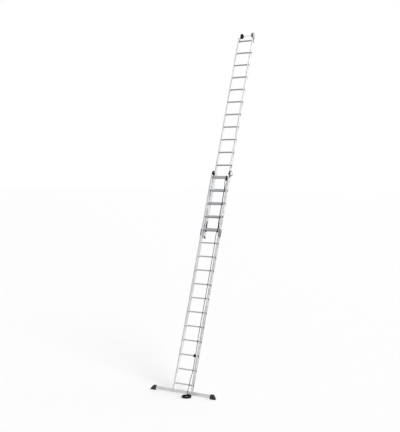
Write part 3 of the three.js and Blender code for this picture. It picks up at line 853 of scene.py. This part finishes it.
def add_boots(rubber):
    """Moulded boots whose front and back lean with the bar, with ribs and a ribbed sole edge."""
    slices = [(BOOT_FRONT, 0.0040), (BOOT_FRONT + 0.0012, 0.0014), (BOOT_FRONT + 0.004, 0.0),
              (BOOT_BACK - 0.004, 0.0), (BOOT_BACK - 0.0012, 0.0014), (BOOT_BACK, 0.0040)]
    for side, sign in SIDES:
        bm = bmesh.new()
        rings = [[bm.verts.new((x, y, z)) for x, z in boot_side(shrink)] for y, shrink in slices]
        bm.faces.new(rings[0])
        bm.faces.new(rings[-1][::-1])
        for ring, other in zip(rings, rings[1:]):
            for index in range(len(ring)):
                after = (index + 1) % len(ring)
                bm.faces.new((ring[index], ring[after], other[after], other[index]))
        for rib in range(BOOT_RIBS):
            x = BOOT_START + 0.018 + rib * 0.014
            high = min(BOOT_TOP - 0.016, 0.070 - max(0, rib - 2) * 0.013)
            band = rounded(rectangle(x - 0.0030, 0.014, x + 0.0030, high), 0.0025)
            prism(bm, band, BOOT_FRONT - 0.0018, BOOT_FRONT + 0.002, "y", 0.001)
            prism(bm, band, BOOT_BACK - 0.002, BOOT_BACK + 0.0018, "y", 0.001)
        for tread in range(SOLE_LUGS):
            x = BOOT_START + 0.008 + tread * 0.012
            block = [(x - 0.0040, 0.0002), (x + 0.0040, 0.0002), (x + 0.0034, 0.0085), (x - 0.0034, 0.0085)]
            lug = rounded(block, 0.001)
            prism(bm, lug, BOOT_FRONT - 0.0016, BOOT_FRONT + 0.003, "y", 0.0006, 1)
            prism(bm, lug, BOOT_BACK - 0.003, BOOT_BACK + 0.0016, "y", 0.0006, 1)
        cuff = rounded(rectangle(BOOT_FRONT - 0.0015, 0.004, BOOT_BACK + 0.0015, 0.0775), 0.006, 4)
        prism(bm, cuff, BOOT_START - 0.0025, BOOT_START + 0.005, "x", 0.002)
        for vertex in bm.verts:
            vertex.co.y += vertex.co.z * math.tan(TILT)
        bmesh.ops.recalc_face_normals(bm, faces=bm.faces)
        handed(bm, sign)
        piece(f"rubber_boot_{side}", bm, rubber, "base", [f"boot_{side}"], place=LEVEL)


# ---------------------------------------------------------------- guides

def add_base_guides(plastic, disc_grey, zinc):
    start, end = 0.188, 0.212
    claw_tip = 0.158
    foot = BASE_TOP + CONTACT_GAP
    low, high = foot + 0.010, foot + 0.050
    for side, sign in SIDES:
        bm = bmesh.new()
        lean = math.degrees(math.asin((CAP_Z - foot) / CAP_RADIUS))
        disc = arc((CAP_Y, CAP_Z), CAP_RADIUS, -lean, 180 + lean, 48)
        prism(bm, disc, start, end, "x", 0.004, 3)
        arm = rounded(rectangle(CAP_Y, low, FLY_BACK + 0.014, high), 0.006)
        prism(bm, arm, start + 0.001, end - 0.001, "x", 0.002)
        for near, far in ((FLY_BACK + 0.0015, FLY_BACK + 0.014), (FLY_FRONT - 0.014, FLY_FRONT - 0.0015)):
            claw = rounded(rectangle(claw_tip, low, start + 0.006, high), 0.005)
            prism(bm, claw, near, far, "y", 0.002)
        tongue = rounded(rectangle(-0.020, BASE_TOP - 0.017, 0.020, BASE_TOP + 0.010), 0.004)
        prism(bm, tongue, WEB_FACE, end - 0.008, "x", 0.0015)
        handed(bm, sign)
        piece(f"rail_cap_{side}", bm, plastic, "base", [f"base_guide_{side}"])
        bm = bmesh.new()
        face = [(0.0002, 0.0), (0.0440, 0.0), (0.0440, 0.0012), (0.0425, 0.0020), (0.0200, 0.0014),
                (0.0100, 0.0028), (0.0002, 0.0028)]
        turned(bm, face, (end - 0.0004, CAP_Y, CAP_Z), "x", 56)
        everything = bm.verts[:] + bm.edges[:] + bm.faces[:]
        bmesh.ops.bisect_plane(bm, geom=everything, plane_co=(0, 0, foot + 0.004),
                               plane_no=(0, 0, -1), clear_outer=True)
        bmesh.ops.holes_fill(bm, edges=[e for e in bm.edges if e.is_boundary], sides=0)
        handed(bm, sign)
        piece(f"rail_cap_disc_{side}", bm, disc_grey, "base")
        bm = bmesh.new()
        hexagon_head(bm, (end + 0.0024, CAP_Y, CAP_Z), "x", 0.013, 0.005)
        for y in (-0.011, 0.011):
            round_head(bm, (0.1870, y, BASE_TOP - 0.008), "x", 0.005, 0.0022, -1)
        handed(bm, sign)
        piece(f"rail_cap_screws_{side}", bm, zinc, "base")


def add_fly_guides(cast, zinc):
    low, high = FLY_LOW, FLY_LOW + 0.140
    inner, outer, back, plate = 0.1803, 0.2126, 0.0366, 0.006
    for side, sign in SIDES:
        bm = bmesh.new()
        section = rounded([
            (inner, back), (outer, back), (outer, -back), (outer - 0.014, -back),
            (outer - 0.014, -back - plate), (outer + plate, -back - plate),
            (outer + plate, back + plate), (inner + plate, back + plate),
            (inner + plate, FLY_BACK - 0.004), (inner, FLY_BACK - 0.004)], 0.0022)
        prism(bm, section, low, high, "z", 0.002)
        for z in (low + 0.012, (low + high) / 2, high - 0.012):
            rib = rounded(rectangle(-back + 0.002, z - 0.004, back - 0.002, z + 0.004), 0.002)
            prism(bm, rib, outer + plate - 0.001, outer + plate + 0.0032, "x", 0.0015)
        handed(bm, sign)
        piece(f"slide_shoe_{side}", bm, cast, "fly", [f"fly_guide_{side}"])
        bm = bmesh.new()
        for z in (low + 0.034, high - 0.034):
            hexagon_head(bm, (inner + plate, 0.060, z), "x", 0.009, 0.004)
            round_head(bm, (outer + plate, 0.0, z), "x", 0.006, 0.003)
        handed(bm, sign)
        piece(f"slide_shoe_bolts_{side}", bm, zinc, "fly")


# ---------------------------------------------------------------- pulley, latch, rollers

def add_pulley(coat, plastic, zinc):
    rung_z = FIRST_RUNG + (RUNGS - 1) * PITCH
    bm = bmesh.new()
    strap = [(0.0153, -0.014), (0.0190, -0.014), (0.0193, -0.0125), (0.0193, 0.0125), (0.0190, 0.014),
             (0.0153, 0.014)]
    turned(bm, strap, (SHEAVE_X, 0, rung_z), "x", 40)
    inner, outer = 0.009, 0.012
    for low, high in ((-outer, -inner), (inner, outer)):
        outline = (arc((SHEAVE_X, SHEAVE_Z), 0.013, 180, 360, 16)
                   + [(SHEAVE_X + 0.013, rung_z - 0.0145), (SHEAVE_X - 0.013, rung_z - 0.0145)])
        prism(bm, outline, low, high, "y", 0.0008)
    piece("pulley_cheeks", bm, coat, "base", ["pulley_block"])
    bm = bmesh.new()
    prism(bm, circle((SHEAVE_X, SHEAVE_Z), 0.005, 24), -0.0142, 0.0142, "y", 0.0008)
    for sign in (-1, 1):
        hexagon_head(bm, (SHEAVE_X, sign * outer, SHEAVE_Z), "y", 0.012, 0.005, sign)
    piece("pulley_pin", bm, zinc, "base")
    bm = bmesh.new()
    rim = [(0.0053, -0.008), (0.0115, -0.008), (0.0125, -0.0066), (0.0225, -0.0066), (0.0240, -0.008),
           (0.0275, -0.008), (0.0280, -0.0072), (0.0270, -0.0056)]
    rim += [(0.0240 - 0.0064 * math.cos(a), 0.0063 * math.sin(a))
            for a in [math.radians(d) for d in range(-80, 81, 20)]]
    rim += [(0.0270, 0.0056), (0.0280, 0.0072), (0.0275, 0.008), (0.0240, 0.008), (0.0225, 0.0066),
            (0.0125, 0.0066), (0.0115, 0.008), (0.0053, 0.008)]
    turned(bm, rim, (SHEAVE_X, 0, SHEAVE_Z), "y", 48)
    piece("pulley_wheel", bm, plastic, "sheave", ["pulley_sheave"])


def hook_outline():
    """The hook as it holds base rung 12, about the shaft's centre, in Y and Z."""
    seat = FIRST_RUNG + 11 * PITCH + RUNG_RADIUS + 0.0006 - SHAFT_Z
    nose = -(SHAFT_Y + RUNG_RADIUS + 0.0013)
    tip = [(-0.002, seat), (nose, seat), (nose, seat - 0.008), (nose - 0.006, seat - 0.008),
           (nose - 0.0095, seat - 0.004), (nose - 0.0085, 0.004), (nose + 0.004, 0.009), (0, 0.0085)]
    return rounded(tip + arc((0, 0), 0.008, 60, -70, 10), 0.0015, 2)


def latch_plate_outline():
    """The plate in Y and Z, with a notch that clears the fly's bottom rung."""
    front, back, heel = 0.022, 0.062, 0.076
    low, shoulder, high = 3.160, 3.222, 3.384
    corners = [(heel, shoulder), (back, 3.236), (back, high), (front, high), (front, low), (heel, low)]
    notch = arc((FLY_OFFSET, FLY_FIRST), RUNG_RADIUS + 0.0006, 270, 90, 16)
    mouth_low = (heel, FLY_FIRST - RUNG_RADIUS - 0.0006)
    mouth_high = (heel, FLY_FIRST + RUNG_RADIUS + 0.0006)
    return rounded(corners, 0.008, 4) + [mouth_low] + notch + [mouth_high]


def latch_spring(sign):
    """Six turns of wire round the shaft, on the inner side of the hook."""
    steps = 20
    points = []
    for step in range(6 * steps + 1):
        angle = 2 * math.pi * step / steps
        points.append(Vector((sign * (0.1355 - 0.0019 * angle / (2 * math.pi)),
                              SHAFT_Y + 0.0066 * math.cos(angle), SHAFT_Z + 0.0066 * math.sin(angle))))
    return points


def add_latch(coat, zinc):
    for side, sign in SIDES:
        bm = bmesh.new()
        prism(bm, latch_plate_outline(), PLATE_FACE, PLATE_BACK, "x", 0.001)
        boss = rounded(rectangle(0.028, 3.262, 0.056, 3.372), 0.007, 4)
        prism(bm, boss, 0.1493, 0.1510, "x", 0.0012)
        turned(bm, [(0.0053, -0.003), (0.0085, -0.003), (0.0085, 0.003), (0.0053, 0.003)],
               (0.1510, SHAFT_Y, SHAFT_Z), "x", 28)
        handed(bm, sign)
        piece(f"latch_plate_{side}", bm, coat, "fly", [f"latch_bracket_{side}"])
        bm = bmesh.new()
        for z in (3.276, 3.317, 3.358):
            round_head(bm, (0.1495, 0.042, z), "x", 0.0055, 0.0024, -1)
        for y, z in ((0.031, 3.170), (0.068, 3.2145)):
            round_head(bm, (PLATE_FACE, y, z), "x", 0.0050, 0.0022, -1)
        handed(bm, sign)
        piece(f"latch_rivets_{side}", bm, zinc, "fly")
        bm = bmesh.new()
        prism(bm, hook_outline(), 0.138, 0.148, "x", 0.0012)
        swing = Matrix.Translation((0, SHAFT_Y, SHAFT_Z)) @ Matrix.Rotation(-HOOK_SWING, 4, "X")
        bmesh.ops.transform(bm, matrix=swing, verts=bm.verts)
        handed(bm, sign)
        piece(f"latch_claw_{side}", bm, coat, "latch", [f"latch_hook_{side}"])
        bm = bmesh.new()
        laid_rope(bm, latch_spring(sign), radius=0.0008, sides=8, lay=9.0)
        piece(f"latch_spring_{side}", bm, zinc, "latch")
    bm = bmesh.new()
    prism(bm, circle((SHAFT_Y, SHAFT_Z), 0.005, 28), -0.154, 0.154, "x", 0.0008)
    piece("latch_rod", bm, coat, "latch", ["latch_shaft"])


def tyre_profile():
    """The rubber tyre as (radius, along), with two grooves in its tread."""
    profile = [(0.0063, -0.0189), (0.0140, -0.0189), (0.0155, -0.0160), (0.0340, -0.0160),
               (0.0360, -0.0186), (0.0400, -0.0170), (0.0500, -0.0168), (0.0528, -0.0148),
               (TYRE_RADIUS, -0.0110)]
    for groove in (-0.0055, 0.0055):
        profile += [(TYRE_RADIUS, groove - 0.0018), (0.0528, groove - 0.0010), (0.0528, groove + 0.0010),
                    (TYRE_RADIUS, groove + 0.0018)]
    return profile + [(TYRE_RADIUS, 0.0110), (0.0528, 0.0148), (0.0500, 0.0168), (0.0422, 0.0170),
                      (0.0422, 0.0116), (0.0063, 0.0116)]


def add_rollers(rubber, disc_grey, zinc):
    low = FLY_LAST + 0.020
    for side, sign in SIDES:
        bm = bmesh.new()
        outline = ([(FLY_FRONT + 0.008, low), (FLY_BACK - 0.008, low)]
                   + arc((AXLE_Y, AXLE_Z), 0.016, -5, 185, 14) + [(FLY_FRONT + 0.008, low + 0.032)])
        prism(bm, rounded(outline, 0.003, 2), PLATE_FACE, PLATE_BACK, "x", 0.001)
        for y, z in ((0.044, low + 0.012), (0.064, low + 0.012), (0.050, low + 0.030)):
            hexagon_head(bm, (PLATE_FACE, y, z), "x", 0.011, 0.005, -1)
        handed(bm, sign)
        piece(f"roller_arm_{side}", bm, zinc, "fly", [f"roller_bracket_{side}"])
        bm = bmesh.new()
        middle = (ROLLER_X, AXLE_Y, AXLE_Z)
        turned(bm, tyre_profile(), middle, "x", 64)
        handed(bm, sign)
        piece(f"roller_tyre_{side}", bm, rubber, f"roller_{side}", [f"wall_roller_{side}"])
        bm = bmesh.new()
        hub = [(0.0063, 0.0120), (0.0420, 0.0120), (0.0420, 0.0166), (0.0400, 0.0172), (0.0370, 0.0188),
               (0.0345, 0.0186), (0.0320, 0.0152), (0.0155, 0.0152), (0.0140, 0.0189), (0.0063, 0.0189)]
        turned(bm, hub, middle, "x", 48)
        for stud in range(6):
            angle = math.pi * stud / 3
            spot = (AXLE_Y + 0.0237 * math.cos(angle), AXLE_Z + 0.0237 * math.sin(angle))
            prism(bm, circle(spot, 0.0040, 14), ROLLER_X + 0.0140, ROLLER_X + 0.0170, "x", 0.0008)
        handed(bm, sign)
        piece(f"roller_hub_{side}", bm, disc_grey, f"roller_{side}")
    bm = bmesh.new()
    prism(bm, circle((AXLE_Y, AXLE_Z), 0.006, 32), -AXLE_HALF, AXLE_HALF, "x", 0.001)
    for sign in (1, -1):
        hexagon_head(bm, (sign * 0.1548, AXLE_Y, AXLE_Z), "x", 0.016, 0.0055, sign)
    piece("roller_shaft", bm, zinc, "fly", ["roller_axle"])


# ---------------------------------------------------------------- scene

add_camera()
rope = rope_fibre()
add_ropes(rope)
add_floor()
add_light()

aluminium = extruded_aluminium((1, 1, 0.006), (0.80, 0.805, 0.815), (0.88, 0.885, 0.89))
# Rung metal is darker than the stiles, partly for the oxidised ribbed surface and partly as painted shade.
# The fly's rungs are painted darker still as painted shade, and the base rungs lighter as a painted
# reflection of the white floor.
base_rung_metal_with_painted_reflection = extruded_aluminium((0.006, 1, 1), (0.56, 0.565, 0.57), (0.68, 0.685, 0.69))
fly_rung_metal_with_painted_shade = extruded_aluminium((0.006, 1, 1), (0.40, 0.405, 0.41), (0.51, 0.515, 0.52))
# The bar's metal is paler than the stiles': a painted highlight for its brightly lit front face.
bar_metal_with_painted_highlight = extruded_aluminium((0.006, 1, 1), (0.84, 0.845, 0.85), (0.92, 0.925, 0.93))
cast_grey = cast_aluminium()
bright_steel = zinc_steel()
black_steel = powder_coat()
black_plastic = moulded_plastic("black_plastic", (0.009, 0.009, 0.010), (0.026, 0.026, 0.028))
grey_plastic = moulded_plastic("cast_grey", (0.62, 0.62, 0.63), (0.74, 0.74, 0.75))
boot_rubber = moulded_rubber("boot_rubber", 0.022, 0.012)
roller_rubber = moulded_rubber("roller_rubber", 0.009, 0.0)

add_stiles("base", "base", BASE_HALF, BASE_DEPTH, 0.0, BAR_TOP + CONTACT_GAP, BASE_TOP, FIRST_RUNG, aluminium)
add_stiles("fly", "fly", FLY_HALF, FLY_DEPTH, FLY_OFFSET, FLY_LOW, FLY_HIGH, FLY_FIRST, aluminium)
add_rungs("base", "base", BASE_HALF, 0.0, FIRST_RUNG, base_rung_metal_with_painted_reflection)
add_rungs("fly", "fly", FLY_HALF, FLY_OFFSET, FLY_FIRST, fly_rung_metal_with_painted_shade)
# The rung caps are painted shade, black where the hollow ends of the tubes are dark.
add_rung_end_shade_caps("base", "base", BASE_HALF, 0.0, FIRST_RUNG, black_plastic)
add_rung_end_shade_caps("fly", "fly", FLY_HALF, FLY_OFFSET, FLY_FIRST, black_plastic)
add_fly_ends(black_plastic)
add_crossbar(bar_metal_with_painted_highlight, bright_steel)
add_boots(boot_rubber)
add_base_guides(black_plastic, grey_plastic, bright_steel)
add_fly_guides(cast_grey, bright_steel)
add_pulley(black_steel, black_plastic, bright_steel)
add_latch(black_steel, bright_steel)
add_rollers(roller_rubber, grey_plastic, bright_steel)
